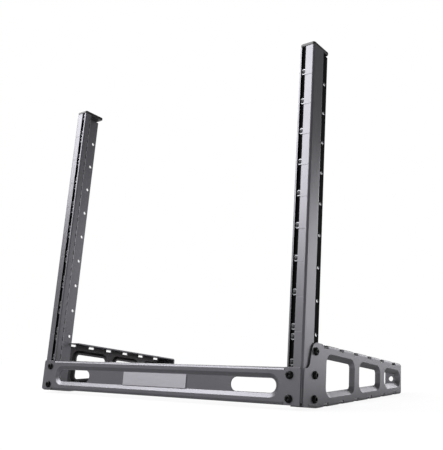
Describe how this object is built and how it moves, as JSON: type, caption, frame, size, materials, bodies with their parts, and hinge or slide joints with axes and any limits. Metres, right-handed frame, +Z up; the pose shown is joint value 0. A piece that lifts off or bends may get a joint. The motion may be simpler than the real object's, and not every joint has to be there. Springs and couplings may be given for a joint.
{
  "type": "desktop data rack",
  "caption": "Open desktop data rack with two slotted 19-inch posts that lean back, a pocketed front beam and two windowed side brackets as feet.",
  "frame": {"origin": "centre of the bounding box on the desk surface that the brackets stand on", "axes": "+X to the right seen from the front, +Y to the back, +Z up; the posts lean 7 degrees toward +Y"},
  "size_m": [0.5096, 0.3074, 0.4984],
  "materials": {
    "coated_steel": "satin dark grey powder coat on folded sheet steel",
    "black_steel": "matt black coated strip",
    "zinc_steel": "zinc plated turned steel",
    "black_plastic": "matt black moulded plastic",
    "black_bolt": "black oxide button-head bolts",
    "badge_metal": "satin light grey metal plate, left bare"
  },
  "bodies": {
    "root": {"badge_plate": "badge_metal", "beam_nuts_left": "zinc_steel", "beam_nuts_right": "zinc_steel", "bracket_bolt_left_lower": "black_bolt", "bracket_bolt_left_middle": "black_bolt", "bracket_bolt_left_upper": "black_bolt", "bracket_bolt_right_lower": "black_bolt", "bracket_bolt_right_middle": "black_bolt", "bracket_bolt_right_upper": "black_bolt", "bracket_flanges_left": "coated_steel", "bracket_flanges_right": "coated_steel", "foot_plug_left": "black_plastic", "foot_plug_right": "black_plastic", "front_beam": "coated_steel", "front_bolt_left_lower": "black_bolt", "front_bolt_left_upper": "black_bolt", "front_bolt_right_lower": "black_bolt", "front_bolt_right_upper": "black_bolt", "insert_row_left": "zinc_steel", "insert_row_right": "zinc_steel", "mounting_strip_left": "black_steel", "mounting_strip_right": "black_steel", "post_channel_left": "coated_steel", "post_channel_right": "coated_steel", "post_cover_left": "coated_steel", "post_cover_right": "coated_steel", "side_bracket_left": "coated_steel", "side_bracket_right": "coated_steel", "spacer_nuts_left": "zinc_steel", "spacer_nuts_right": "zinc_steel", "top_cap_left": "black_plastic", "top_cap_right": "black_plastic"}
  },
  "joints": []
}
